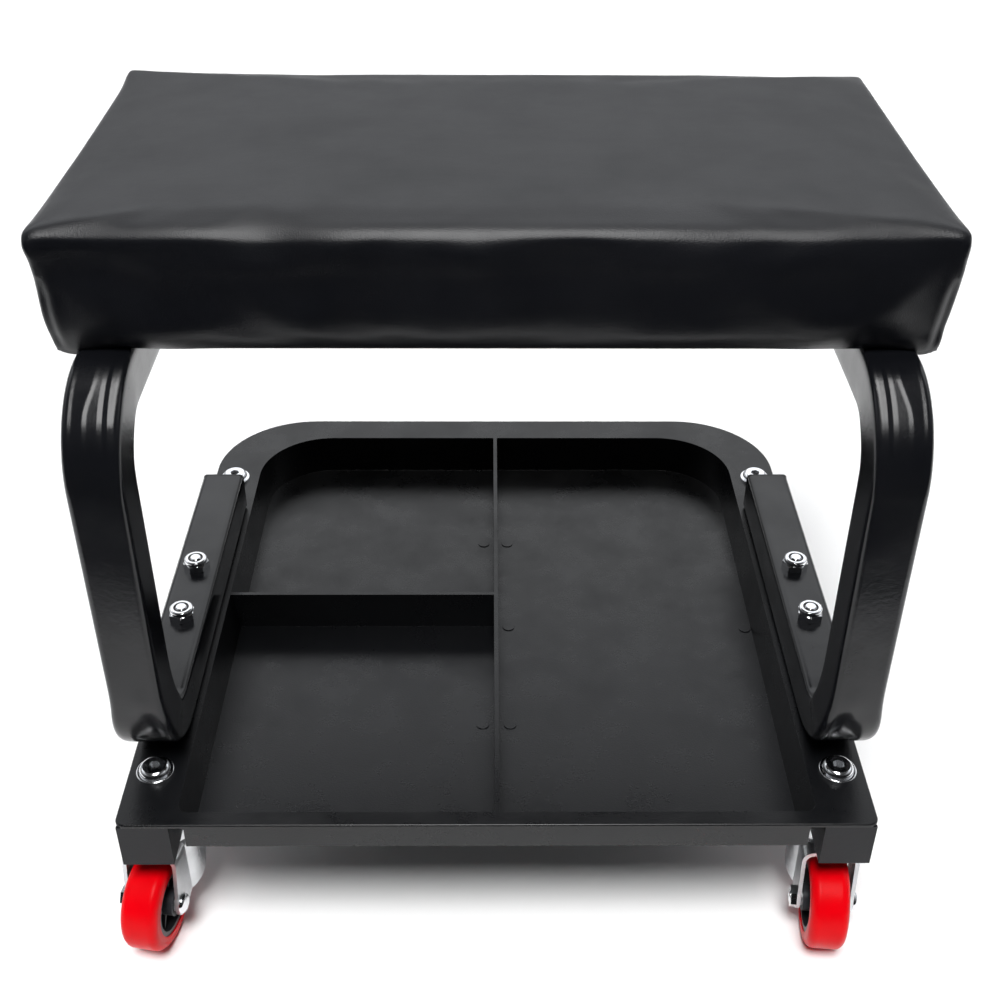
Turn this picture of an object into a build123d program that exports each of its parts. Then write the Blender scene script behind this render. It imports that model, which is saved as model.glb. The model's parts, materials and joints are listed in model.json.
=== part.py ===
"""Rolling creeper seat: padded seat on two bent tube legs, tool tray, four swivel casters.

Millimetres.  +X is to the right as seen from the front, +Y is to the rear, +Z is up.
The origin is on the floor, below the middle of the whole seat.
"""
import os
from math import sqrt

from build123d import *

os.makedirs("parts", exist_ok=True)

# ------------------------------------------------------------------ driving dimensions
# Heights above the floor
wheel_radius = 25.0
rail_bottom = 65.0
rail_height = 26.0
rim_thickness = 2.0
rim_top = rail_bottom + rail_height + rim_thickness

# Tray
tray_width = 368.6
tray_front = -178.9
tray_rear = 192.4
rear_corner = 60.0
front_corner = 5.0
basin_width = 311.0
basin_front = -170.3
basin_rear = 169.9
basin_rear_corner = 45.0
basin_front_corner = 5.0
basin_depth = 24.0
basin_draft = 9.0
tray_wall = 2.0
divider = 2.4
cross_divider_y = -1.0
lip_width = 302.0
lip_height = 14.5
pad_radius = 3.5
pad_height = 0.5
pad_places = ((-7.5, 80.0), (7.5, 80.0), (7.5, -3.0), (-7.5, -85.5), (7.5, -85.5), (148.0, -4.7))

# Side rails, a channel that is open towards the middle
rail_x = 171.0
rail_width = 25.0
rail_wall = 1.5
rail_front = -178.6
rail_rear = 138.6
rail_return = 32.0

# Legs, one bent square tube each side
tube = 25.0
tube_wall = 1.5
tube_bore = tube - 2 * tube_wall
tube_corner = 2.6
bend_radius = 32.5
base_end = 86.2
riser_y = -140.6
bar_end = 80.0
base_z = rim_top + tube / 2
bar_top = 310.0
bar_z = bar_top - tube / 2

# Seat
seat_top = 366.0
seat_front = -107.0
seat_depth = 212.0
seat_width = 391.0
seat_taper = 4.0
seat_y = seat_front + seat_depth / 2
cover = 1.2
cover_edge = 5.0
board_thickness = 12.0
board_width = 374.0
board_depth = 196.0
hem_side = 40.0
hem_end = 26.0

# Hardware
m8 = 4.0
m8_hole = 4.2
m6 = 3.0
m6_hole = 3.3
leg_bolt = 3.2
leg_bolt_hole = 3.5
leg_bolt_rows = (-7.8, -52.2)
seat_bolt_rows = (-45.0, 45.0)

# Casters
caster_front = -143.4
caster_rear = 120.1
trail = 24.0
tread_width = 19.4
hub_radius = 17.5
fork_half = 14.3
fork_plate = 2.0
crown_top = 57.5
crown_radius = 18.0
kingpin = 6.0
running = 0.05
ball = 2.0
ball_pitch = 11.0
ball_z = 60.9
balls_per_race = 12

# Each caster: name, swivel place, and how far it is turned (0 points the wheel to the front)
casters = (
    ("front_left", -rail_x, caster_front, -10.5),
    ("front_right", rail_x, caster_front, -5.5),
    ("rear_left", -rail_x, caster_rear, 9.0),
    ("rear_right", rail_x, caster_rear, -6.0),
)
caster_places = [(x, y) for _, x, y, _ in casters]
leg_bolt_places = [(side * rail_x, y) for side in (-1, 1) for y in leg_bolt_rows]
seat_bolt_places = [(side * rail_x, y) for side in (-1, 1) for y in seat_bolt_rows]


def save(part, node):
    """Label a finished piece and write its STEP file."""
    part.label = node
    export_step(part, f"parts/{node}.step")


def basin_outline(grow):
    """The basin's plan, larger all round by grow: wide corners behind, tight ones in front."""
    width = basin_width + 2 * grow
    depth = basin_rear - basin_front + 2 * grow
    with BuildSketch(mode=Mode.PRIVATE) as outline:
        with Locations((0, (basin_front + basin_rear) / 2)):
            Rectangle(width, depth)
        fillet(outline.vertices().group_by(Axis.Y)[-1], basin_rear_corner + grow)
        fillet(outline.vertices().group_by(Axis.Y)[0], basin_front_corner + grow)
    return outline.sketch


def seat_section(inset, height_share):
    """The seat's plan at a height from 0, its underside, to 1, its top, inset all round."""
    narrow = 2 * seat_taper * (1 - height_share) + 2 * inset
    corner = 7.0 - inset
    with BuildSketch(mode=Mode.PRIVATE) as section:
        with Locations((0, seat_y)):
            RectangleRounded(seat_width - narrow, seat_depth - narrow, corner)
    return section.sketch


def rings(places, low, radius, hole, thickness):
    """Flat rings, one at each of the places, that stand on the height low."""
    with BuildPart() as made:
        with BuildSketch(Plane.XY.offset(low)):
            with Locations(*places):
                Circle(radius)
                Circle(hole, mode=Mode.SUBTRACT)
        extrude(amount=thickness)
    return made.part


# ------------------------------------------------------------------ tray
with BuildPart() as dividers:
    with BuildSketch(Plane.XY.offset(rim_top)):
        add(basin_outline(0.8))
    extrude(amount=-basin_depth - 0.5, taper=basin_draft)
    with BuildSketch(Plane.XY.offset(rim_top - basin_depth - 0.5)):
        with Locations((0, (basin_front + basin_rear) / 2)):
            Rectangle(divider, basin_rear - basin_front + 20)
        with Locations((0, cross_divider_y)):
            Rectangle(basin_width / 2 + 10, divider, align=(Align.MAX, Align.CENTER))
    extrude(amount=basin_depth + 0.5, mode=Mode.INTERSECT)

with BuildPart() as tray:
    with BuildSketch(Plane.XY.offset(rim_top - rim_thickness)) as rim:
        with Locations((0, (tray_front + tray_rear) / 2)):
            Rectangle(tray_width, tray_rear - tray_front)
        fillet(rim.vertices().group_by(Axis.Y)[-1], rear_corner)
        fillet(rim.vertices().group_by(Axis.Y)[0], front_corner)
    extrude(amount=rim_thickness)
    fillet(tray.edges().group_by(Axis.Z)[-1], 0.8)
    with BuildSketch(Plane.XY.offset(rim_top - rim_thickness)):
        add(basin_outline(tray_wall))
    extrude(amount=-basin_depth, taper=basin_draft)
    with BuildSketch(Plane.XY.offset(rim_top)):
        add(basin_outline(0))
    extrude(amount=-basin_depth, taper=basin_draft, mode=Mode.SUBTRACT)
    # downturned front lip between the two rails
    with BuildSketch(Plane.XY.offset(rim_top - lip_height)):
        with Locations((0, tray_front + tray_wall / 2)):
            Rectangle(lip_width, tray_wall)
    extrude(amount=lip_height - rim_thickness)
    add(dividers.part)
    # round ejector pads on the floor
    with BuildSketch(Plane.XY.offset(rim_top - basin_depth)):
        with Locations(*pad_places):
            Circle(pad_radius)
    extrude(amount=pad_height)
    # holes for the caster bolts and the leg bolts
    with Locations(*[(x, y, rim_top) for x, y in caster_places]):
        Hole(m8_hole, depth=rim_thickness)
    with Locations(*[(x, y, rim_top) for x, y in leg_bolt_places]):
        Hole(leg_bolt_hole, depth=rim_thickness)
save(tray.part, "tray")

# ------------------------------------------------------------------ side rails
for name, side in (("left_rail", -1), ("right_rail", 1)):
    middle = rail_bottom + rail_height / 2
    with BuildPart() as rail:
        with BuildSketch(Plane.XZ.offset(-rail_rear)) as channel:
            with Locations((side * rail_x, middle)):
                Rectangle(rail_width, rail_height)
            outer_side = channel.vertices().sort_by(Axis.X)
            fillet(outer_side[:2] if side < 0 else outer_side[-2:], 2.4)
            with Locations((side * (rail_x - rail_wall), middle)):
                Rectangle(rail_width, rail_height - 2 * rail_wall, mode=Mode.SUBTRACT)
        extrude(amount=rail_rear - rail_front)
        # tab that closes the front end
        with BuildSketch(Plane.XZ.offset(-rail_front)):
            with Locations((side * rail_x, middle)):
                Rectangle(rail_width, rail_height)
        extrude(amount=-rail_wall)
        # the tab is folded back along the open side
        with BuildSketch(Plane.XZ.offset(-rail_front)):
            with Locations((side * (rail_x - rail_width / 2 + rail_wall / 2), middle)):
                Rectangle(rail_wall, rail_height)
        extrude(amount=-rail_return)
        rail_top = rail_bottom + rail_height
        with Locations(*[(side * rail_x, y, rail_top) for y in leg_bolt_rows]):
            Hole(leg_bolt_hole, depth=rail_wall)
        with Locations(*[(side * rail_x, y, rail_top) for y in (caster_front, caster_rear)]):
            Hole(m8_hole, depth=rail_height)
    save(rail.part, name)

# ------------------------------------------------------------------ legs
for name, side in (("left_leg", -1), ("right_leg", 1)):
    with BuildPart() as leg:
        with BuildLine(Plane.YZ.offset(side * rail_x)) as centreline:
            FilletPolyline(
                (base_end, base_z),
                (riser_y, base_z),
                (riser_y, bar_z),
                (bar_end, bar_z),
                radius=bend_radius,
            )
        start = Plane(origin=centreline.line @ 0, x_dir=(1, 0, 0), z_dir=centreline.line % 0)
        with BuildSketch(start):
            RectangleRounded(tube, tube, tube_corner)
            RectangleRounded(tube_bore, tube_bore, tube_corner - tube_wall, mode=Mode.SUBTRACT)
        sweep(path=centreline.line)
        with Locations(*[(side * rail_x, y, base_z + tube / 2) for y in leg_bolt_rows]):
            Hole(leg_bolt_hole, depth=tube)
        with Locations(*[(side * rail_x, y, bar_top) for y in seat_bolt_rows]):
            Hole(m6_hole, depth=tube)
    save(leg.part, name)

# ------------------------------------------------------------------ plugs in the tube ends
plug_flange = 1.6
plug_length = 12.0
plug_wall = 1.8
plug_size = tube_bore - 0.1
plug_bore = plug_size - 2 * plug_wall
for name, side, end, height in (
    ("left_base_plug", -1, base_end, base_z),
    ("right_base_plug", 1, base_end, base_z),
    ("left_bar_plug", -1, bar_end, bar_z),
    ("right_bar_plug", 1, bar_end, bar_z),
):
    end_face = Plane(origin=(side * rail_x, end, height), x_dir=(-1, 0, 0), z_dir=(0, 1, 0))
    with BuildPart() as plug:
        with BuildSketch(end_face):
            RectangleRounded(tube, tube, tube_corner)
        extrude(amount=plug_flange)
        fillet(plug.faces().sort_by(Axis.Y)[-1].edges(), 0.7)
        with BuildSketch(end_face):
            RectangleRounded(plug_size, plug_size, 1.3)
            RectangleRounded(plug_bore, plug_bore, 0.8, mode=Mode.SUBTRACT)
        extrude(amount=-plug_length)
    save(plug.part, name)

# ------------------------------------------------------------------ seat
board_bottom = bar_top + cover
board_top = board_bottom + board_thickness
seat_height = seat_top - bar_top

with BuildPart() as seat_board:
    with BuildSketch(Plane.XY.offset(board_bottom)):
        with Locations((0, seat_y)):
            RectangleRounded(board_width, board_depth, 10)
    extrude(amount=board_thickness)
    with Locations(*[(x, y, board_top) for x, y in seat_bolt_places]):
        CounterBoreHole(4.1, counter_bore_radius=9.1, counter_bore_depth=1.4, depth=board_thickness)
save(seat_board.part, "seat_board")

with BuildPart() as seat_foam:
    foam_gap = 0.1
    foam_low = (board_top - bar_top) / seat_height
    with BuildSketch(Plane.XY.offset(board_top)):
        add(seat_section(cover + foam_gap, foam_low))
    with BuildSketch(Plane.XY.offset(seat_top - cover - foam_gap)):
        add(seat_section(cover + foam_gap, 1))
    loft()
    fillet(seat_foam.faces().sort_by(Axis.Z)[-1].edges(), cover_edge - cover)
save(seat_foam.part, "seat_foam")

with BuildPart() as seat_hollow:
    with BuildSketch(Plane.XY.offset(board_bottom)):
        add(seat_section(cover, 0))
    with BuildSketch(Plane.XY.offset(seat_top - cover)):
        add(seat_section(cover, 1))
    loft()
    fillet(seat_hollow.faces().sort_by(Axis.Z)[-1].edges(), cover_edge - cover)

with BuildPart() as seat_cover:
    with BuildSketch(Plane.XY.offset(bar_top)):
        add(seat_section(0, 0))
    with BuildSketch(Plane.XY.offset(seat_top)):
        add(seat_section(0, 1))
    loft()
    fillet(seat_cover.faces().sort_by(Axis.Z)[-1].edges(), cover_edge)
    fillet(seat_cover.faces().sort_by(Axis.Z)[0].edges(), cover)
    add(seat_hollow.part, mode=Mode.SUBTRACT)
    # the cover folds under the board and ends in a hem
    with BuildSketch(Plane.XY.offset(bar_top)):
        with Locations((0, seat_y)):
            Rectangle(seat_width - 2 * hem_side, seat_depth - 2 * hem_end)
    extrude(amount=cover, mode=Mode.SUBTRACT)
    with Locations(*[(x, y, board_bottom) for x, y in seat_bolt_places]):
        Hole(m6_hole, depth=cover)
save(seat_cover.part, "seat_cover")

# staples that hold the hem to the board, clear of the top bars
staple_crown = 12.0
staple_wire = 0.9
staple_leg = 8.0
staple_end = seat_depth / 2 - 18
staple_rows = [(x, seat_y + end * staple_end, 0) for end in (-1, 1) for x in range(-135, 136, 30)]
staple_rows += [(side * 153.5, seat_y + y, 90) for side in (-1, 1) for y in (-60, -30, 0, 30, 60)]
with BuildPart() as staples:
    for x, y, turn in staple_rows:
        with BuildSketch(Plane.XY.offset(bar_top - staple_wire)):
            with Locations(Location((x, y, 0), (0, 0, turn))):
                Rectangle(staple_crown, staple_wire)
        extrude(amount=staple_wire)
        with BuildSketch(Plane.XY.offset(bar_top)):
            with Locations(Location((x, y, 0), (0, 0, turn))):
                with GridLocations(staple_crown - staple_wire, 0, 2, 1):
                    Rectangle(staple_wire, staple_wire)
        extrude(amount=staple_leg)
save(staples.part, "staples")

# ------------------------------------------------------------------ seat fasteners
tee_bore = m6 + 0.05
with BuildPart() as tee_nuts:
    add(rings(seat_bolt_places, board_top - 1.3, 9.0, tee_bore, 1.3))
    add(rings(seat_bolt_places, board_top - 10.0, 4.05, tee_bore, 8.7))
save(tee_nuts.part, "tee_nuts")

bar_bottom = bar_top - tube
seat_washer = 1.2
with BuildPart() as seat_washers:
    add(rings(seat_bolt_places, bar_bottom - seat_washer, 7.0, m6_hole, seat_washer))
save(seat_washers.part, "seat_washers")

seat_head = 4.0
head_top = bar_bottom - seat_washer
with BuildPart() as seat_bolts:
    with BuildSketch(Plane.XY.offset(head_top - seat_head)):
        with Locations(*seat_bolt_places):
            RegularPolygon(10 / sqrt(3), 6)
    extrude(amount=seat_head)
    with BuildSketch(Plane.XY.offset(head_top)):
        with Locations(*seat_bolt_places):
            Circle(m6)
    extrude(amount=board_top - 1.5 - head_top)
save(seat_bolts.part, "seat_bolts")

# ------------------------------------------------------------------ leg fasteners
nut_hex = 4.2
nut_height = 6.7
nut_across = 12.6
collar = 6.3
insert_radius = 4.2
insert_thickness = 1.6
rail_ceiling = rail_bottom + rail_height - rail_wall
base_top = base_z + tube / 2
nut_bottom = base_top
bolt_tip = nut_bottom + nut_height + 0.5

with BuildPart() as leg_bolts:
    with BuildSketch(Plane.XY.offset(rail_ceiling - 5.3)):
        with Locations(*leg_bolt_places):
            RegularPolygon(nut_across / sqrt(3), 6)
    extrude(amount=5.3)
    with BuildSketch(Plane.XY.offset(rail_ceiling)):
        with Locations(*leg_bolt_places):
            Circle(leg_bolt)
    extrude(amount=bolt_tip - rail_ceiling)
    chamfer(leg_bolts.edges().group_by(Axis.Z)[-1], 0.6)
save(leg_bolts.part, "leg_bolts")

# lock nuts: a chamfered hexagon with a round collar that holds a plastic insert
with BuildPart() as nut_cone:
    with BuildSketch(Plane.XZ):
        with BuildLine():
            foot = Polyline((0, 0), (6.7, 0), (7.3, 0.6), (7.3, 3.4), (collar, nut_hex), (collar, 5.7))
            crest = RadiusArc(foot @ 1, (collar - 1.0, nut_height), -1.0)
            Polyline(crest @ 1, (0, nut_height), (0, 0))
        make_face()
    revolve(axis=Axis.Z)

with BuildPart() as lock_nut:
    with BuildSketch():
        RegularPolygon(nut_across / sqrt(3), 6)
    extrude(amount=nut_hex)
    with BuildSketch(Plane.XY.offset(nut_hex)):
        Circle(collar)
    extrude(amount=nut_height - nut_hex)
    add(nut_cone.part, mode=Mode.INTERSECT)
    Hole(leg_bolt + 0.05)
    with BuildSketch(Plane.XY.offset(nut_height)):
        Circle(insert_radius)
    extrude(amount=-insert_thickness - 0.3, mode=Mode.SUBTRACT)

with BuildPart() as leg_nuts:
    for turn, (x, y) in zip((10, 34, 50, 22), leg_bolt_places):
        with Locations(Location((x, y, nut_bottom), (0, 0, turn))):
            add(lock_nut.part)
save(leg_nuts.part, "leg_nuts")

insert_bottom = nut_bottom + nut_height - insert_thickness - 0.3
with BuildPart() as nut_inserts:
    add(rings(leg_bolt_places, insert_bottom, insert_radius, leg_bolt + 0.05, insert_thickness))
save(nut_inserts.part, "nut_inserts")

# ------------------------------------------------------------------ caster fasteners
caster_washer = 1.5
head_radius = 7.8
head_flat = 5.9
head_height = 3.2
hex_socket = 5.2
sleeve_radius = 7.0
flange_bottom = 53.3
caster_nut = 6.5
kingpin_bottom = flange_bottom - caster_nut - 1.0

with BuildPart() as caster_washers:
    add(rings(caster_places, rim_top, 9.4, m8_hole, caster_washer))
    fillet(caster_washers.edges().group_by(Axis.Z)[-1].group_by(SortBy.RADIUS)[-1], 0.5)
save(caster_washers.part, "caster_washers")

with BuildPart() as caster_bolt:
    with BuildSketch(Plane.XZ):
        with BuildLine():
            base = Line((0, 0), (head_radius, 0))
            edge = Line(base @ 1, (head_radius, 0.9))
            dome = ThreePointArc(edge @ 1, (7.15, 2.3), (head_flat, head_height))
            Polyline(dome @ 1, (0, head_height), (0, 0))
        make_face()
    revolve(axis=Axis.Z)
    with BuildSketch(Plane.XY.offset(head_height)):
        RegularPolygon(hex_socket / sqrt(3), 6)
    extrude(amount=-2.2, mode=Mode.SUBTRACT)
    with BuildSketch():
        Circle(m8)
    extrude(amount=kingpin_bottom - rim_top - caster_washer)

with BuildPart() as caster_bolts:
    for turn, (x, y) in zip((8, 25, 47, 14), caster_places):
        with Locations(Location((x, y, rim_top + caster_washer), (0, 0, turn))):
            add(caster_bolt.part)
save(caster_bolts.part, "caster_bolts")

with BuildPart() as spacer_sleeves:
    add(rings(caster_places, rail_bottom + rail_wall, sleeve_radius, m8_hole, rail_height - 2 * rail_wall))
save(spacer_sleeves.part, "spacer_sleeves")

with BuildPart() as kingpins:
    add(rings(caster_places, flange_bottom, 9.0, m8_hole, 2.1))
    add(rings(caster_places, flange_bottom + 2.1, kingpin, m8_hole, rail_bottom - flange_bottom - 2.1))
save(kingpins.part, "kingpins")

with BuildPart() as caster_nuts:
    with BuildSketch(Plane.XY.offset(flange_bottom - caster_nut)):
        with Locations(*caster_places):
            RegularPolygon(nut_across / sqrt(3), 6)
            Circle(m8 + 0.05, mode=Mode.SUBTRACT)
    extrude(amount=caster_nut)
save(caster_nuts.part, "caster_nuts")

# ------------------------------------------------------------------ swivel bearings
race_bottom = ball_z + 1.0
race_skirt = 58.4
groove = ball + 0.1

with BuildPart() as top_races:
    for x, y in caster_places:
        with BuildSketch(Plane.XY.offset(race_bottom)):
            with Locations((x, y)):
                Circle(crown_radius)
                Circle(kingpin + running, mode=Mode.SUBTRACT)
        extrude(amount=rail_bottom - race_bottom)
        with BuildSketch(Plane.XY.offset(race_skirt)):
            with Locations((x, y)):
                Circle(crown_radius)
                Circle(crown_radius - 1.2, mode=Mode.SUBTRACT)
        extrude(amount=race_bottom - race_skirt)
        with Locations((x, y, ball_z)):
            Torus(ball_pitch, groove, mode=Mode.SUBTRACT)
save(top_races.part, "top_races")

with BuildPart() as swivel_balls:
    for x, y in caster_places:
        with Locations((x, y, ball_z)):
            with PolarLocations(ball_pitch, balls_per_race):
                Sphere(ball)
save(swivel_balls.part, "swivel_balls")

# ------------------------------------------------------------------ one caster, wheel to the front
axle_z = wheel_radius
head_thickness = 2.4
nut_thickness = 3.0
axle_head = 5.2
arm_gap = 0.2
bush_half = fork_half - fork_plate - arm_gap
bush_radius = 4.5
rim_inner = 15.0
boss_radius = 7.0

with BuildPart() as fork_side:
    with BuildSketch(Plane.YZ.offset(-30)):
        with BuildLine():
            rear = FilletPolyline(
                (19.0, crown_top + 1), (19.0, 48.0), (-1.0, 25.0), (-20.6, 17.7), radius=5
            )
            tip = ThreePointArc(rear @ 1, (-26.9, 19.2), (-28.8, 24.5))
            Polyline(tip @ 1, (-24.2, 50.0), (-23.4, crown_top + 1), rear @ 0)
        make_face()
    extrude(amount=60)

with BuildPart() as fork:
    with BuildSketch(Plane.XY.offset(10)):
        Circle(crown_radius)
        with Locations((0, -20)):
            Rectangle(2 * fork_half, 40)
    extrude(amount=crown_top - 10)
    fillet(fork.faces().sort_by(Axis.Z)[-1].edges(), 6.5)
    offset(amount=-fork_plate, openings=fork.faces().sort_by(Axis.Z)[0])
    add(fork_side.part, mode=Mode.INTERSECT)
    with Locations((0, 0, crown_top)):
        Hole(kingpin + running, depth=5)
    with Locations(Location((0, -trail, axle_z), (0, 90, 0))):
        Cylinder(m6 + running, 60, mode=Mode.SUBTRACT)

with BuildPart() as lower_race:
    with BuildSketch(Plane.XY.offset(crown_top)):
        Circle(15.0)
        Circle(kingpin + 0.3, mode=Mode.SUBTRACT)
    extrude(amount=ball_z - 1.0 - crown_top)
    with Locations((0, 0, ball_z)):
        Torus(ball_pitch, groove, mode=Mode.SUBTRACT)

# axle bolt: domed head on the right, hexagon nut on the left
with BuildPart() as axle_bolt:
    with BuildSketch(Plane.YZ.offset(fork_half)):
        with Locations((-trail, axle_z)):
            Circle(axle_head)
    extrude(amount=head_thickness)
    fillet(axle_bolt.faces().sort_by(Axis.X)[-1].edges(), 2.2)
    with BuildSketch(Plane.YZ.offset(fork_half)):
        with Locations((-trail, axle_z)):
            Circle(m6)
    extrude(amount=-2 * fork_half - nut_thickness - 0.6)
    chamfer(axle_bolt.faces().sort_by(Axis.X)[0].edges(), 0.5)

with BuildPart() as axle_nut:
    with BuildSketch(Plane.YZ.offset(-fork_half)):
        with Locations((-trail, axle_z)):
            RegularPolygon(10 / sqrt(3), 6)
            Circle(m6 + 0.02, mode=Mode.SUBTRACT)
    extrude(amount=-nut_thickness)

with BuildPart() as axle_bush:
    with BuildSketch(Plane.YZ.offset(-bush_half)):
        with Locations((-trail, axle_z)):
            Circle(bush_radius)
            Circle(m6 + running, mode=Mode.SUBTRACT)
    extrude(amount=2 * bush_half)

# wheel hub: outer ring, thin web with ribs, and a boss
axle_line = Axis((0, -trail, axle_z), (1, 0, 0))
ring_half = tread_width / 2 - 0.6
boss_half = bush_half - 0.8
web_half = 2.2
rib_half = 6.0
with BuildPart() as hub:
    with BuildSketch(Plane.YZ.offset(-ring_half)):
        with Locations((-trail, axle_z)):
            Circle(hub_radius)
            Circle(rim_inner, mode=Mode.SUBTRACT)
    extrude(amount=2 * ring_half)
    with BuildSketch(Plane.YZ.offset(-web_half)):
        with Locations((-trail, axle_z)):
            Circle(rim_inner + 0.5)
    extrude(amount=2 * web_half)
    with BuildSketch(Plane.YZ.offset(-boss_half)):
        with Locations((-trail, axle_z)):
            Circle(boss_radius)
    extrude(amount=2 * boss_half)
    with BuildSketch(Plane.YZ.offset(-rib_half)):
        with Locations((-trail, axle_z)):
            with PolarLocations((boss_radius + rim_inner) / 2, 6):
                Rectangle(rim_inner - boss_radius + 1, 1.6)
    extrude(amount=2 * rib_half)
    with Locations(Location((0, -trail, axle_z), (0, 90, 0))):
        Cylinder(bush_radius + 0.02, 60, mode=Mode.SUBTRACT)

with BuildPart() as tread:
    with BuildSketch(Plane.XY.offset(axle_z)):
        with BuildLine():
            half = tread_width / 2
            shoulder = 4.5
            low = hub_radius - trail
            high = wheel_radius - trail
            Polyline((-half, low), (half, low), (half, high - shoulder))
            RadiusArc((half, high - shoulder), (half - shoulder, high), -shoulder)
            Line((half - shoulder, high), (shoulder - half, high))
            RadiusArc((shoulder - half, high), (-half, high - shoulder), -shoulder)
            Line((-half, high - shoulder), (-half, low))
        make_face()
    revolve(axis=axle_line)

caster_pieces = {
    "fork": fork,
    "lower_race": lower_race,
    "axle_bolt": axle_bolt,
    "axle_nut": axle_nut,
    "axle_bush": axle_bush,
    "hub": hub,
    "tread": tread,
}
for corner, x, y, turn in casters:
    for piece, made in caster_pieces.items():
        with BuildPart() as placed:
            with Locations(Location((x, y, 0), (0, 0, turn))):
                add(made.part)
        save(placed.part, f"{corner}_{piece}")
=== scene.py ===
"""The looks of the rolling creeper seat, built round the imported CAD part.

Metres, in the CAD frame: +X is to the right as seen from the front, +Y is to the rear, +Z is up.
"""
import json
import math

import bmesh
import bpy
from mathutils import Euler, Matrix, Vector, noise


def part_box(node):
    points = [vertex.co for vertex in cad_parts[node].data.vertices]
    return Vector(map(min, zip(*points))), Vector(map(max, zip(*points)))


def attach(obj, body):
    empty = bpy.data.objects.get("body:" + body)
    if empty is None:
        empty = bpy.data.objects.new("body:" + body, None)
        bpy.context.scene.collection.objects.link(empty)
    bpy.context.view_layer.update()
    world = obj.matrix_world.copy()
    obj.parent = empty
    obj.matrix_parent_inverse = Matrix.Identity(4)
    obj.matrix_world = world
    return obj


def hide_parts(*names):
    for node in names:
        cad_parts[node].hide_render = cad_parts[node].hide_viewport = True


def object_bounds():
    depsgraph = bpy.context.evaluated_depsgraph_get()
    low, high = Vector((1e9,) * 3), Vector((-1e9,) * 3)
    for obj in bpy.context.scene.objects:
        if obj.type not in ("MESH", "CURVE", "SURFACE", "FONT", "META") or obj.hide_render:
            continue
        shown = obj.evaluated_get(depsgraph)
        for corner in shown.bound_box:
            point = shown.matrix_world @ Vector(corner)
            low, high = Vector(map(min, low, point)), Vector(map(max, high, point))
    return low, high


MM = 0.001
# noise rarely leaves this range, so colours and roughness are spread over it
NOISE_LOW, NOISE_HIGH = 0.3, 0.7

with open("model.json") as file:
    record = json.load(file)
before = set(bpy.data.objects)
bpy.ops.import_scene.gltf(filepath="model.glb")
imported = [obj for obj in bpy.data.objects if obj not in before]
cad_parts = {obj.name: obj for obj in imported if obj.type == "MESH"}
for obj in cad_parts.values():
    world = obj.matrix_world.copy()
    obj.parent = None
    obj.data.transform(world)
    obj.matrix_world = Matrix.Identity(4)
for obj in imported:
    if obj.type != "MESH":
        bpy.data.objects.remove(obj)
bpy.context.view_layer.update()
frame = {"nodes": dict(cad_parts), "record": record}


def placed(name, data):
    """A new object in the scene."""
    made = bpy.data.objects.new(name, data)
    bpy.context.scene.collection.objects.link(made)
    return made


def written(work, mesh):
    """Writes a worked mesh back, and ends the work."""
    work.to_mesh(mesh)
    work.free()
    return mesh


def fill(node, sockets):
    """Sets input values of a node; an underscore stands for a space in a socket's name."""
    for socket, value in sockets.items():
        node.inputs[socket.replace("_", " ")].default_value = value


# ------------------------------------------------------------------ materials
class Surface:
    """A node material that is built up from noise over the object's own coordinates."""

    def __init__(self, name, **sockets):
        self.material = bpy.data.materials.new(name)
        self.material.use_nodes = True
        self.tree = self.material.node_tree
        self.shader = self.tree.nodes["Principled BSDF"]
        self.coordinates = self.tree.nodes.new("ShaderNodeTexCoord").outputs["Object"]
        self.normal = None
        fill(self.shader, sockets)

    def node(self, kind, **sockets):
        made = self.tree.nodes.new(kind)
        fill(made, sockets)
        return made

    def noise(self, scale, detail, stretch=(1, 1, 1), roughness=0.55):
        moved = self.node("ShaderNodeMapping", Scale=stretch)
        self.tree.links.new(self.coordinates, moved.inputs["Vector"])
        made = self.node("ShaderNodeTexNoise", Scale=scale, Detail=detail, Roughness=roughness)
        self.tree.links.new(moved.outputs["Vector"], made.inputs["Vector"])
        return made.outputs["Fac"]

    def cells(self, scale):
        made = self.node("ShaderNodeTexVoronoi", Scale=scale)
        self.tree.links.new(self.coordinates, made.inputs["Vector"])
        return made.outputs["Distance"]

    def colour(self, value, *stops):
        made = self.node("ShaderNodeValToRGB")
        band = made.color_ramp
        while len(band.elements) < len(stops):
            band.elements.new(0.5)
        for index, stop in enumerate(stops):
            share = index / (len(stops) - 1)
            band.elements[index].position = NOISE_LOW + (NOISE_HIGH - NOISE_LOW) * share
            band.elements[index].color = (*stop, 1)
        self.tree.links.new(value, made.inputs["Fac"])
        self.tree.links.new(made.outputs["Color"], self.shader.inputs["Base Color"])

    def rough(self, value, low, high):
        ends = {"From Min": NOISE_LOW, "From Max": NOISE_HIGH, "To Min": low, "To Max": high}
        made = self.node("ShaderNodeMapRange", **ends)
        self.tree.links.new(value, made.inputs["Value"])
        self.tree.links.new(made.outputs["Result"], self.shader.inputs["Roughness"])

    def bump(self, value, distance, strength):
        made = self.node("ShaderNodeBump", Distance=distance, Strength=strength)
        self.tree.links.new(value, made.inputs["Height"])
        if self.normal:
            self.tree.links.new(self.normal, made.inputs["Normal"])
        self.normal = made.outputs["Normal"]
        self.tree.links.new(self.normal, self.shader.inputs["Normal"])


def vinyl():
    s = Surface("black_vinyl", Specular_IOR_Level=0.42)
    s.colour(s.noise(9, 6), (0.0022, 0.0025, 0.0040), (0.0034, 0.0038, 0.0056), (0.0050, 0.0054, 0.0074))
    s.rough(s.noise(26, 7), 0.31, 0.42)
    s.bump(s.noise(60, 3), 0.0004, 0.3)
    s.bump(s.cells(1500), 0.00010, 0.45)
    s.bump(s.noise(2600, 2), 0.00005, 0.5)
    return s.material


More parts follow.
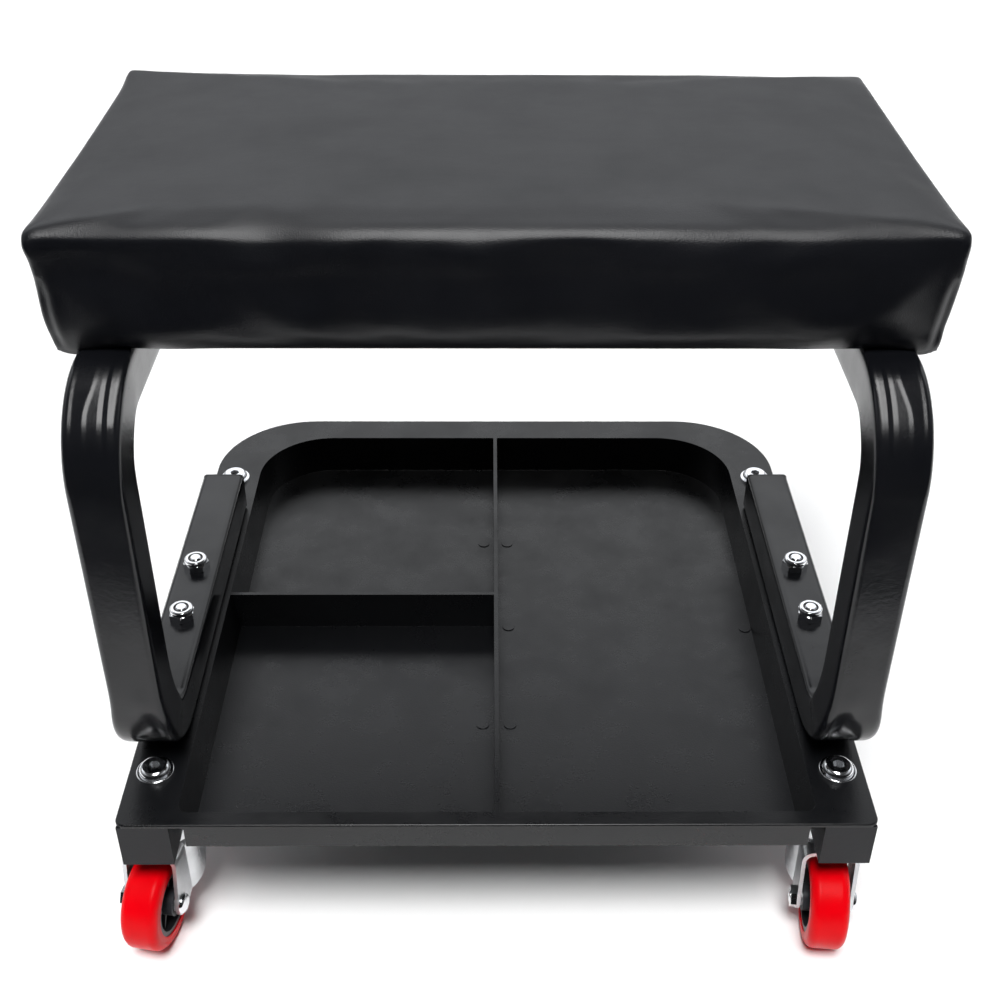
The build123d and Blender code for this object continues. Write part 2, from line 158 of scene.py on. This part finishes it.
def powder_coat(name, low, high, shine, level):
    s = Surface(name, Specular_IOR_Level=level)
    s.colour(s.noise(14, 6), low, high)
    s.rough(s.noise(40, 8), shine - 0.05, shine + 0.08)
    s.bump(s.noise(420, 3), 0.00012, 0.35)
    s.bump(s.noise(1500, 2), 0.00004, 0.4)
    return s.material


def moulded(name, low, high, shine, level=0.38):
    s = Surface(name, Specular_IOR_Level=level)
    s.colour(s.noise(11, 8), low, high)
    s.rough(s.noise(30, 9, roughness=0.65), shine - 0.07, shine + 0.08)
    s.bump(s.noise(1400, 3), 0.00008, 0.5)
    s.bump(s.cells(1120), 0.00006, 0.4)
    return s.material


def red_tread():
    s = Surface("red_polyurethane", Specular_IOR_Level=0.12)
    s.colour(s.noise(60, 5), (0.62, 0.000, 0.003), (0.70, 0.000, 0.004))
    s.rough(s.noise(90, 7), 0.28, 0.42)
    s.bump(s.noise(700, 3), 0.00006, 0.4)
    return s.material


def plated(name, low, high, rough_low, rough_high, brushed=1.0):
    s = Surface(name, Metallic=1.0)
    s.colour(s.noise(70, 6), low, high)
    s.rough(s.noise(160, 8, (1, 1, brushed)), rough_low, rough_high)
    s.bump(s.noise(900, 4, (1, 1, brushed)), 0.00003, 0.35)
    return s.material


def plywood():
    s = Surface("plywood", Specular_IOR_Level=0.35)
    grain = (0.25, 6, 6)
    s.colour(s.noise(24, 9, grain), (0.012, 0.010, 0.009), (0.024, 0.020, 0.017), (0.040, 0.034, 0.029))
    s.rough(s.noise(50, 8, (0.3, 6, 6)), 0.62, 0.85)
    s.bump(s.noise(120, 8, (0.2, 6, 6)), 0.0003, 0.5)
    return s.material


def open_foam():
    s = Surface("foam", Specular_IOR_Level=0.2)
    s.colour(s.noise(40, 6), (0.62, 0.56, 0.38), (0.74, 0.68, 0.48))
    s.rough(s.noise(90, 6), 0.85, 1.0)
    s.bump(s.cells(700), 0.0006, 0.9)
    return s.material


looks = {
    "vinyl": vinyl(),
    "foam": open_foam(),
    "plywood": plywood(),
    "leg_coat": powder_coat(
        "leg_powder_coat", (0.0035, 0.0038, 0.0050), (0.0060, 0.0064, 0.0080), shine=0.20, level=0.45
    ),
    "rail_coat": powder_coat(
        "rail_powder_coat", (0.0036, 0.0040, 0.0056), (0.0062, 0.0066, 0.0088), shine=0.34, level=0.29
    ),
    "tray_plastic": moulded(
        "tray_moulding", (0.0030, 0.0032, 0.0040), (0.0050, 0.0053, 0.0062), shine=0.29, level=0.47
    ),
    "plug_plastic": moulded("plug_moulding", (0.010, 0.010, 0.010), (0.018, 0.018, 0.018), shine=0.46),
    "red_tread": red_tread(),
    "hub_plastic": moulded("hub_moulding", (0.020, 0.021, 0.024), (0.034, 0.035, 0.040), shine=0.40),
    "zinc_plate": plated("zinc_plate", (0.60, 0.61, 0.62), (0.76, 0.77, 0.79), 0.24, 0.40, brushed=0.2),
    "bright_plate": plated("bright_plate", (0.80, 0.81, 0.83), (0.90, 0.91, 0.93), 0.07, 0.17),
    "plain_steel": plated("plain_steel", (0.42, 0.43, 0.45), (0.58, 0.59, 0.61), 0.30, 0.48, brushed=0.3),
}
node_slot = {row["node"]: row["material_slot"] for row in frame["record"]["subparts"]}
node_body = {node: body for body, nodes in frame["record"]["behaviour"]["bodies"].items() for node in nodes}
for name, shown in frame["nodes"].items():
    shown.data.materials.clear()
    shown.data.materials.append(looks[node_slot[name]])


# ------------------------------------------------------------------ pieces
def piece(name, mesh, nodes, smooth, weighted=False):
    """A shown object that stands for CAD nodes, with their body and finish."""
    made = placed(name, mesh)
    mesh.materials.clear()
    mesh.materials.append(looks[node_slot[nodes[0]]])
    mesh.shade_smooth()
    mesh.set_sharp_from_angle(angle=math.radians(smooth))
    if weighted:
        modifier = made.modifiers.new("flat_faces", "WEIGHTED_NORMAL")
        modifier.weight = 100
        modifier.keep_sharp = True
    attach(made, node_body[nodes[0]])
    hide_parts(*nodes)
    return made


def soften(node, width):
    """Shows a copy of a CAD node with its sharp edges rounded off."""
    same_point, flat, sharp_edge = 0.001 * MM, math.radians(0.6), math.radians(32)
    work = bmesh.new()
    work.from_mesh(frame["nodes"][node].data)
    bmesh.ops.remove_doubles(work, verts=work.verts, dist=same_point)
    bmesh.ops.dissolve_limit(work, angle_limit=flat, verts=work.verts, edges=work.edges)
    sharp = [e for e in work.edges if len(e.link_faces) == 2 and e.calc_face_angle() > sharp_edge]
    bmesh.ops.bevel(
        work, geom=sharp, offset=width, segments=2, profile=0.5, affect="EDGES", clamp_overlap=True
    )
    mesh = written(work, bpy.data.meshes.new(node + "_mesh"))
    piece(node + "_soft", mesh, [node], smooth=50, weighted=True)


def size_of(node):
    low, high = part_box(node)
    return low, high, (low + high) / 2


# ------------------------------------------------------------------ legs
STRAIGHT, LOWER_BEND, UPPER_BEND = 0, 1, 2
# how far along the tube the dents of a bend reach each way from its middle
DENT_REACH = {LOWER_BEND: 60 * MM, UPPER_BEND: 36 * MM}
BEND_RADIUS = 32.5 * MM
TUBE_CORNER = 3.0 * MM
# faces of a side wall, the outer wall, the other side wall and the inner wall, and of each corner
WALL_FACES = (8, 60, 8, 16)
CORNER_FACES = 4
LEG_STEP = 2.5 * MM
# a bend is divided more finely than the straight lengths
BEND_FINENESS = 2.2


def section(half):
    """Points round a square tube as (across, outward); its outer wall is divided most finely."""
    ring = []
    flat = half - TUBE_CORNER
    angles = [math.radians(90 * i / CORNER_FACES) for i in range(CORNER_FACES)]
    arc = [Vector((flat + TUBE_CORNER * math.cos(a), flat + TUBE_CORNER * math.sin(a))) for a in angles]
    for quarter, count in enumerate(WALL_FACES):
        turn = Matrix.Rotation(math.radians(90 * quarter), 2)
        wall = [Vector((half, -flat + 2 * flat * i / count)) for i in range(count)]
        ring += [turn @ p for p in wall + arc]
    return ring


def leg_path(low, high, half, end_top):
    """Points along the leg: (place in YZ, outward direction, the bend it is in or STRAIGHT)."""
    rear, front = high.y, low.y + half
    base, bar = low.z + half, high.z - half
    stops = []

    def straight(a, b, outward):
        count = max(2, int((b - a).length / LEG_STEP))
        for i in range(count):
            stops.append((a.lerp(b, i / count), outward, STRAIGHT))

    def arc(centre, start, end, bend):
        count = int(BEND_RADIUS * math.radians(90) / LEG_STEP * BEND_FINENESS)
        for i in range(count):
            a = math.radians(start + (end - start) * i / count)
            outward = Vector((math.cos(a), math.sin(a)))
            stops.append((centre + outward * BEND_RADIUS, outward, bend))

    turn = front + BEND_RADIUS
    straight(Vector((rear, base)), Vector((turn, base)), Vector((0, -1)))
    arc(Vector((turn, base + BEND_RADIUS)), -90, -180, LOWER_BEND)
    straight(Vector((front, base + BEND_RADIUS)), Vector((front, bar - BEND_RADIUS)), Vector((-1, 0)))
    arc(Vector((turn, bar - BEND_RADIUS)), 180, 90, UPPER_BEND)
    straight(Vector((turn, bar)), Vector((end_top, bar)), Vector((0, 1)))
    stops.append((Vector((end_top, bar)), Vector((0, 1)), STRAIGHT))
    return stops


def smoothstep(low, high, value):
    """0 below low, 1 above high, and a smooth rise in between."""
    t = min(1.0, max(0.0, (value - low) / (high - low)))
    return t * t * (3 - 2 * t)


def bell(value, middle, width):
    """1 at the middle, and falling off smoothly over the width."""
    return math.exp(-(((value - middle) / width) ** 2))


def ramp(low, high, value):
    """0 below low, 1 above high, and straight in between."""
    return min(1.0, max(0.0, (value - low) / (high - low)))


def upper_dent(inward, t):
    """Millimetres by which the outer wall stands out at the upper bend: an oval between two lines."""
    narrow = smoothstep(0.02, 0.42, t)
    left, right = -2.4 + 2.9 * narrow, 3.9 + 0.3 * narrow
    dent = 0.25 * ramp(-7.6, left - 1.2, inward) - 0.35 * ramp(-11.0, -7.8, inward)
    dent -= 0.30 * ramp(left - 0.9, left + 0.9, inward) + 0.16 * ramp(left + 0.9, right - 1.2, inward)
    dent -= 0.36 * ramp(right - 1.1, right + 1.1, inward)
    dent += 0.40 * ramp(5.3, 7.0, inward) - 0.50 * ramp(7.0, 10.6, inward)
    dent += 1.02 * ramp(11.0, 15.5, inward)
    # the lines run out below the bend
    return dent * smoothstep(-0.75, -0.05, t)


def lower_dent(inward, t):
    """The same at the lower bend: pressed flat, with a pit and a ridge towards the middle of the seat."""
    flat = 3.4 * bell(t, 0.05, 0.40)
    swell = 1.0 * bell(inward, 3.0, 6.0) * bell(t, 0.58, 0.15)
    swell += 1.3 * bell(inward, -7.0, 6.0) * bell(t, 0.20, 0.16)
    pit = 1.3 * bell(inward, 5.0, 4.2) * bell(t, 0.28, 0.15)
    ridge = 1.4 * bell(inward, 10.0, 2.2) * bell(t, 0.22, 0.16)
    return swell + ridge - flat - pit


def gather(inward, t):
    """Millimetres by which the inner wall is pressed in at the lower bend, less at one long wrinkle."""
    return 5.0 * bell(t, 0.05, 0.28) - 1.6 * bell(inward, 1.5, 1.8) * bell(t, -0.20, 0.12)


def dent_shift(across, out, half, inward, bend, t):
    """Metres by which a point of the tube's section moves, as (across, outward).

    inward is where it lies in millimetres towards the seat's middle, and t is how far past the
    middle of the bend it is, from -1 to 1.
    """
    aside = raised = 0.0
    fade = (1 - t * t) ** 2
    on_outer, on_inner = out > half * 0.6, out < -half * 0.6
    on_side = abs(across) > half * 0.4
    if on_outer:
        dent = upper_dent if bend == UPPER_BEND else lower_dent
        raised = dent(inward, t) * fade ** 0.6
    if on_inner:
        pressed = gather(inward, t) if bend == LOWER_BEND else 2.0
        raised = pressed * fade * (1 - (across / half) ** 2)
    # the side walls spread, at the lower bend over their whole width
    if on_side:
        if bend == LOWER_BEND:
            spread = 2.3 * bell(t, 0.22, 0.26)
        else:
            spread = 1.1 * fade * (0.5 - 0.5 * out / half) * (1 - (out / half) ** 4)
        aside = math.copysign(spread * smoothstep(0.4, 1.0, abs(across) / half), across)
    return aside * MM, raised * MM


def bend_middles(stops, run):
    """How far along the leg the middle of each bend is."""
    middles = {}
    for bend in DENT_REACH:
        inside = [d for d, stop in zip(run, stops) if stop[2] == bend]
        middles[bend] = sum(inside) / len(inside)
    return middles


def tube(name, rings):
    """A closed mesh through rings of points, with a flat face at each end."""
    work = bmesh.new()
    made = [[work.verts.new(p) for p in ring] for ring in rings]
    count = len(made[0])
    for a, b in zip(made, made[1:]):
        for i in range(count):
            j = (i + 1) % count
            work.faces.new((a[i], a[j], b[j], b[i]))
    work.faces.new(made[0])
    work.faces.new(list(reversed(made[-1])))
    bmesh.ops.recalc_face_normals(work, faces=work.faces)
    return written(work, bpy.data.meshes.new(name))


def leg(name, plug):
    """A bent square tube, with the dents that bending leaves in it; the plug's head closes its end."""
    low, high, middle = size_of(name)
    half = (high.x - low.x) / 2
    plug_head = 1.6 * MM
    stops = leg_path(low, high, half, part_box(plug)[1].y - plug_head)
    ring = section(half)
    side = 1 if middle.x > 0 else -1
    run = [0.0]
    for a, b in zip(stops, stops[1:]):
        run.append(run[-1] + (b[0] - a[0]).length)
    middles = bend_middles(stops, run)
    rings = []
    for along, (place, outward, _) in zip(run, stops):
        points = []
        for across, out in ring:
            x, o = across, out
            for bend, reach in DENT_REACH.items():
                t = (along - middles[bend]) / reach
                if abs(t) < 1:
                    aside, raised = dent_shift(across, out, half, -side * across / MM, bend, t)
                    x += aside
                    o += raised
            points.append((middle.x + x, place.x + outward.x * o, place.y + outward.y * o))
        rings.append(points)
    piece(name + "_bent", tube(name + "_mesh", rings), [name], smooth=60)


leg("left_leg", "left_bar_plug")
leg("right_leg", "right_bar_plug")

for node in ("tray", "left_rail", "right_rail"):
    soften(node, 0.5 * MM)


# ------------------------------------------------------------------ cushion
SIMULATED_FRAMES = 20
COVER_HEIGHT = 56 * MM
# points nearer to the seat's outline than this belong to its upright faces
FACE_DEPTH = 9 * MM


def seat_block():
    """A closed block of the seat's size: wider at the top, with round edges."""
    low, high, middle = size_of("seat_cover")
    grown_top, shrunk_base, raised_top = 2.4 * MM, 0.4 * MM, 0.4 * MM
    work = bmesh.new()
    bmesh.ops.create_cube(work, size=1.0)
    for v in work.verts:
        on_top = v.co.z > 0
        growth = grown_top if on_top else -shrunk_base
        v.co.x = middle.x + math.copysign((high.x - low.x) / 2 + growth, v.co.x)
        v.co.y = middle.y + math.copysign((high.y - low.y) / 2 + growth, v.co.y)
        v.co.z = high.z + raised_top if on_top else low.z
    upright = [e for e in work.edges if abs(e.verts[0].co.z - e.verts[1].co.z) > 0.01]
    bmesh.ops.bevel(work, geom=upright, offset=3 * MM, segments=3, profile=0.5, affect="EDGES")
    level = [e for e in work.edges if min(v.co.z for v in e.verts) > high.z - 2 * MM]
    bmesh.ops.bevel(work, geom=level, offset=5.5 * MM, segments=4, profile=0.5, affect="EDGES")
    return written(work, bpy.data.meshes.new("seat_block"))


def evaluated(shown):
    """The mesh of an object with its modifiers applied; the object itself goes."""
    graph = bpy.context.evaluated_depsgraph_get()
    mesh = bpy.data.meshes.new_from_object(shown.evaluated_get(graph))
    bpy.data.objects.remove(shown)
    return mesh


def modified(mesh, kind, **settings):
    """The mesh as one modifier of that kind makes it."""
    block = placed("block", mesh)
    modifier = block.modifiers.new(kind.lower(), kind)
    for key, value in settings.items():
        setattr(modifier, key, value)
    return evaluated(block)


def hold_underside(cloth_object):
    """Groups the points that stay on the board, and those of the upright faces, which may stretch."""
    low, high, _ = size_of("seat_cover")
    board, rim = low.z + 2 * MM, high.z - 4 * MM
    held = cloth_object.vertex_groups.new(name="held")
    loose = cloth_object.vertex_groups.new(name="loose")
    for v in cloth_object.data.vertices:
        if v.co.z < board:
            held.add([v.index], 1.0, "REPLACE")
        elif v.co.z < rim:
            loose.add([v.index], 1.0, "REPLACE")


def inflate(mesh, share, cap):
    """Blows the cover up round its foam with a cloth simulation; its underside stays on the board.

    Only a share of the movement is used, and no point moves further than the cap.
    """
    cloth_object = placed("cover_cloth", mesh)
    hold_underside(cloth_object)
    cloth = cloth_object.modifiers.new("cloth", "CLOTH")
    cloth.settings.quality = 6
    cloth.settings.mass = 0.25
    cloth.settings.tension_stiffness = 25
    cloth.settings.compression_stiffness = 25
    cloth.settings.shear_stiffness = 8
    cloth.settings.bending_stiffness = 2.0
    cloth.settings.use_pressure = True
    cloth.settings.uniform_pressure_force = 4.0
    cloth.settings.effector_weights.gravity = 0.0
    cloth.settings.vertex_group_mass = "held"
    cloth.settings.vertex_group_shrink = "loose"
    cloth.settings.shrink_min = 0.0
    cloth.settings.shrink_max = -0.035
    scene = bpy.context.scene
    for step in range(1, SIMULATED_FRAMES + 1):
        scene.frame_set(step)
    start = [v.co.copy() for v in mesh.vertices]
    moved = evaluated(cloth_object)
    for v, old in zip(moved.vertices, start):
        shift = (v.co - old) * share
        if shift.length > cap:
            shift = shift.normalized() * cap
        # the short sides nearly keep their place
        shift.x *= 0.2
        v.co = old + shift
    scene.frame_set(1)
    return moved


def finer_corners(mesh, reach):
    """Divides the faces round the four upright corners once more, for the folds there."""
    low, high, middle = size_of("seat_cover")
    half = (high - low) / 2
    work = bmesh.new()
    work.from_mesh(mesh)

    def near(v):
        to_side = half.x - abs(v.co.x - middle.x)
        to_end = half.y - abs(v.co.y - middle.y)
        return min(to_side, reach) + min(to_end, reach) < reach

    chosen = [e for e in work.edges if near(e.verts[0]) and near(e.verts[1])]
    bmesh.ops.subdivide_edges(work, edges=chosen, cuts=1, use_grid_fill=True, smooth=0.0)
    written(work, mesh)


class Spot:
    """Where a point of the cover lies, from the seat's middle and edges; t is its height, from 0 to 1."""

    def __init__(self, place, low, high):
        middle, half = (low + high) / 2, (high - low) / 2
        self.x, self.y, self.z = place.x - middle.x, place.y - middle.y, place.z
        self.t = (place.z - low.z) / (high.z - low.z)
        self.share_x, self.share_y = self.x / half.x, self.y / half.y
        self.to_side, self.to_end = half.x - abs(self.x), half.y - abs(self.y)
        self.side, self.end = math.copysign(1, self.x), math.copysign(1, self.y)
        self.to_corner = math.hypot(self.to_side, self.to_end)
        self.on_end, self.on_side = self.to_end < FACE_DEPTH, self.to_side < FACE_DEPTH


# each of the next six gives a point's shift in millimetres
def pointed_corner(s):
    """The upper corners are pulled out to a point."""
    pull = math.exp(-s.to_corner / (7 * MM)) * smoothstep(0.74, 0.98, s.t)
    return Vector((s.side * 0.5, s.end * 1.2, 0.9)) * pull


def upright_faces(s):
    """Soft hollows in the upright faces, which turn in under the board below a wavy line."""
    shift = Vector((0, 0, 0))
    along = s.x if s.on_end else s.y
    wave = noise.noise(Vector((along * 13, s.end * 2.3, s.end * 3.1 + 0.4)))
    line = 0.34 + 0.16 * wave + 0.36 * math.exp(-min(s.to_side, 1.0) / (30 * MM)) * s.on_end
    under = max(0.0, (line - s.t) / line) ** 2
    belly = 0.9 * math.sin(math.pi * s.t / 0.9) if s.t < 0.9 else 0.0
    hollow = noise.noise(Vector((s.x * 17, s.y * 17 + 2.0, 2.7 + s.z * 26)))
    hollow += 0.4 * noise.noise(Vector((s.x * 44, s.y * 44, s.z * 56 + 4.0)))
    hollow *= (1 - smoothstep(0.80, 1.0, s.t)) * smoothstep(0.0, 0.2, s.t)
    if s.on_end:
        shift.y = s.end * (belly - 2.4 * under + 3.0 * hollow)
    if s.on_side:
        shift.x = s.side * (1.0 * hollow - 0.5 * belly)
    return shift


def lower_corner(s):
    """Folds round the lower corners: one up each corner, and one across the long face."""
    if not s.on_end:
        return Vector((0, 0, 0))
    across, up = s.to_side / MM, s.t * COVER_HEIGHT / MM
    ridge = bell(s.to_side, (8.6 - 4.0 * s.t) * MM, 2.0 * MM)
    groove = bell(s.to_side, (4.4 - 3.0 * s.t) * MM, 2.2 * MM)
    fold = 0.3 * ridge - 1.3 * groove
    fold *= (1 - smoothstep(0.45, 0.85, s.t)) * smoothstep(0.0, 0.14, s.t)
    start = 42 if s.side > 0 else 34
    cross = bell(0.56 * (across - 8) + 0.83 * (up - start), 0, 8.0)
    cross *= smoothstep(6, 20, across) * (1 - smoothstep(48, 86, across))
    return Vector((0, s.end * (fold + 0.8 * cross), 0))


def round_foot(s):
    """The lower corners are drawn in."""
    sag = math.exp(-((s.to_corner / (10 * MM)) ** 2)) * (1 - smoothstep(0.0, 0.35, s.t))
    return Vector((s.side * -1.2, s.end * 0.2, 0)) * sag


def upper_edges(s):
    """The long upper edges dip where the cover is drawn down, and the short ones stand out."""
    edge = math.exp(-((s.to_end / (11 * MM)) ** 2)) * smoothstep(0.65, 0.97, s.t)
    dip = bell(s.x, -96 * MM, 20 * MM) + 0.3 * bell(s.x, 98 * MM, 26 * MM)
    dip += 0.4 * noise.noise(Vector((s.x * 21, 0.0, 7.0))) * bell(s.x, 0, 165 * MM)
    dip *= edge * (1.0 if s.end < 0 else 0.15)
    # the long faces lean back below their upper edges
    lean = smoothstep(0.70, 1.0, s.t) * (1 - math.exp(-s.to_side / (30 * MM)))
    lean *= 1 - smoothstep(2 * MM, 45 * MM, s.to_end)
    rim = math.exp(-((s.to_side / (14 * MM)) ** 2)) * smoothstep(0.76, 1.0, s.t)
    shift = Vector((s.side * (1.3 - 0.3 * s.side) * rim, -s.end * (1.6 * dip + 1.8 * lean), -2.2 * dip))
    # the rear edge slopes down to the right
    if s.end > 0:
        rear = math.exp(-((s.to_end / (16 * MM)) ** 2)) * smoothstep(0.6, 0.95, s.t)
        shift.z += (1.3 - 2.8 * smoothstep(0.5, 1.0, s.share_x)) * rear
    return shift


def full_top(s):
    """The top is a little full in the middle, with a slight ripple."""
    crown = max(0.0, 1 - s.share_x ** 2) * max(0.0, 1 - s.share_y ** 2)
    ripple = 0.25 * noise.noise(Vector((s.x * 12, s.y * 12, 1.0)))
    return Vector((0, 0, (1.2 * crown + ripple) * smoothstep(0.9, 1.0, s.t)))


def hang(s):
    """Millimetres by which the cover hangs below the board next to its lower corners."""
    foot = 1 - smoothstep(0.0, 0.3, s.t)
    return 2.8 * bell(s.to_side, 11 * MM, 9 * MM) * bell(s.to_end, 0, 26 * MM) * foot


def drape(mesh):
    """The hand-pulled look of the cover."""
    low, high, _ = size_of("seat_cover")
    folds = (pointed_corner, upright_faces, lower_corner, round_foot, upper_edges, full_top)
    for v in mesh.vertices:
        spot = Spot(v.co, low, high)
        for fold in folds:
            v.co += fold(spot) * MM
        if spot.t < 0.02:
            v.co.z = low.z
        v.co.z -= hang(spot) * MM


def open_hem(mesh):
    """Cuts the cover open under the board and turns the hem's edge up to it."""
    low, _, middle = size_of("seat_cover")
    hole = (155.5 * MM, 80 * MM)
    hem = 1.2 * MM
    work = bmesh.new()
    work.from_mesh(mesh)

    def underneath(f):
        return f.calc_center_median().z < low.z + hem / 2

    def inside(f):
        c = f.calc_center_median() - middle
        return abs(c.x) < hole[0] and abs(c.y) < hole[1]

    for axis in (0, 1):
        for side in (-1, 1):
            cut = middle.copy()
            cut[axis] += side * hole[axis]
            normal = Vector((0, 0, 0))
            normal[axis] = side
            under = [f for f in work.faces if underneath(f)]
            corners = {v for f in under for v in f.verts}
            edges = {e for f in under for e in f.edges}
            bmesh.ops.bisect_plane(work, geom=[*corners, *edges, *under], plane_co=cut, plane_no=normal)
    opened = [f for f in work.faces if underneath(f) and inside(f)]
    bmesh.ops.delete(work, geom=opened, context="FACES")
    rim = [e for e in work.edges if e.is_boundary]
    turned = bmesh.ops.extrude_edge_only(work, edges=rim)["geom"]
    for v in turned:
        if isinstance(v, bmesh.types.BMVert):
            v.co.z = low.z + hem
    written(work, mesh)


def cushion():
    mesh = modified(seat_block(), "REMESH", mode="VOXEL", voxel_size=4.5 * MM)
    mesh = inflate(mesh, share=0.35, cap=2 * MM)
    mesh = modified(mesh, "SUBSURF", levels=1, render_levels=1)
    finer_corners(mesh, 26 * MM)
    drape(mesh)
    open_hem(mesh)
    made = piece("seat_cushion", mesh, ["seat_cover", "seat_foam"], smooth=80)


cushion()

# ------------------------------------------------------------------ floor, light and camera
FLOOR_REACH = 12.0
low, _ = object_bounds()

paper = Surface("pale_floor")
paper.colour(paper.noise(3, 3), (0.90, 0.90, 0.90), (0.92, 0.92, 0.92))
paper.rough(paper.noise(5, 3), 0.75, 0.85)


def ground(name, front, rear):
    mesh = bpy.data.meshes.new(name)
    left, right = -FLOOR_REACH, FLOOR_REACH
    corners = [(left, front, 0), (right, front, 0), (right, rear, 0), (left, rear, 0)]
    mesh.from_pydata(corners, [], [(0, 1, 2, 3)])
    mesh.materials.append(paper.material)
    made = placed(name, mesh)
    return made


# the sheet ends a little in front of the object; glossy faces don't mirror the floor beyond it
sheet_front = 0.215
sheet_edge = low.y - sheet_front
ground("floor", sheet_edge, FLOOR_REACH)
ground("floor_front", -FLOOR_REACH, sheet_edge).visible_glossy = False


def sky():
    """A studio with a bright panel behind and above the object, dim in front and at the horizon."""
    world = bpy.data.worlds.new("studio")
    bpy.context.scene.world = world
    world.use_nodes = True
    nodes, links = world.node_tree.nodes, world.node_tree.links
    direction = nodes.new("ShaderNodeTexCoord").outputs["Generated"]
    parts = nodes.new("ShaderNodeSeparateXYZ")
    links.new(direction, parts.inputs["Vector"])

    def gradient(axis, start, end, low, high):
        made = nodes.new("ShaderNodeMapRange")
        made.interpolation_type = "SMOOTHSTEP"
        fill(made, {"From Min": start, "From Max": end, "To Min": low, "To Max": high})
        links.new(parts.outputs[axis], made.inputs["Value"])
        return made.outputs["Result"]

    def product(first, second):
        made = nodes.new("ShaderNodeMath")
        made.operation = "MULTIPLY"
        links.new(first, made.inputs[0])
        links.new(second, made.inputs[1])
        return made.outputs[0]

    height = product(gradient("Z", 0.36, 0.48, 0.35, 1.20), gradient("Z", 0.67, 0.76, 1.0, 0.14))
    panel = product(gradient("Y", -0.75, 0.85, 0.03, 1.22), height)
    fill(nodes["Background"], {"Color": (0.95, 0.97, 1.0, 1)})
    links.new(panel, nodes["Background"].inputs["Strength"])


sky()


def key_light():
    """A soft sun from above and in front; it isn't mirrored."""
    lamp = bpy.data.lights.new("key", "SUN")
    lamp.energy = 3.8
    lamp.angle = math.radians(22)
    key = placed("key", lamp)
    key.rotation_euler = Vector((0.06, 0.42, -0.9)).to_track_quat("-Z", "Y").to_euler()
    key.visible_glossy = False


def softbox():
    """A long box overhead that only shows as a highlight."""
    box = bpy.data.lights.new("wide_box", "AREA")
    box.shape = "RECTANGLE"
    box.size, box.size_y = 0.7, 1.9
    box.energy = 36
    made = placed("wide_box", box)
    made.location = (0, -0.45, 1.9)
    made.visible_diffuse = False
    made.visible_camera = False


key_light()
softbox()

view = bpy.data.cameras.new("camera")
view.sensor_width = 36.0
view.lens = 49.43
view.clip_start = 0.01
view.clip_end = 50.0
camera = placed("camera", view)
camera.location = (-0.0036, -0.6314, 0.5975)
down, to_right, roll = math.radians(34.78), 0.009, 0.005
aim = Euler((math.radians(90) - down, 0, -to_right)).to_matrix()
camera.rotation_euler = (aim @ Matrix.Rotation(roll, 3, "Z")).to_euler()
bpy.context.scene.camera = camera
bpy.context.scene.view_settings.view_transform = "Standard"
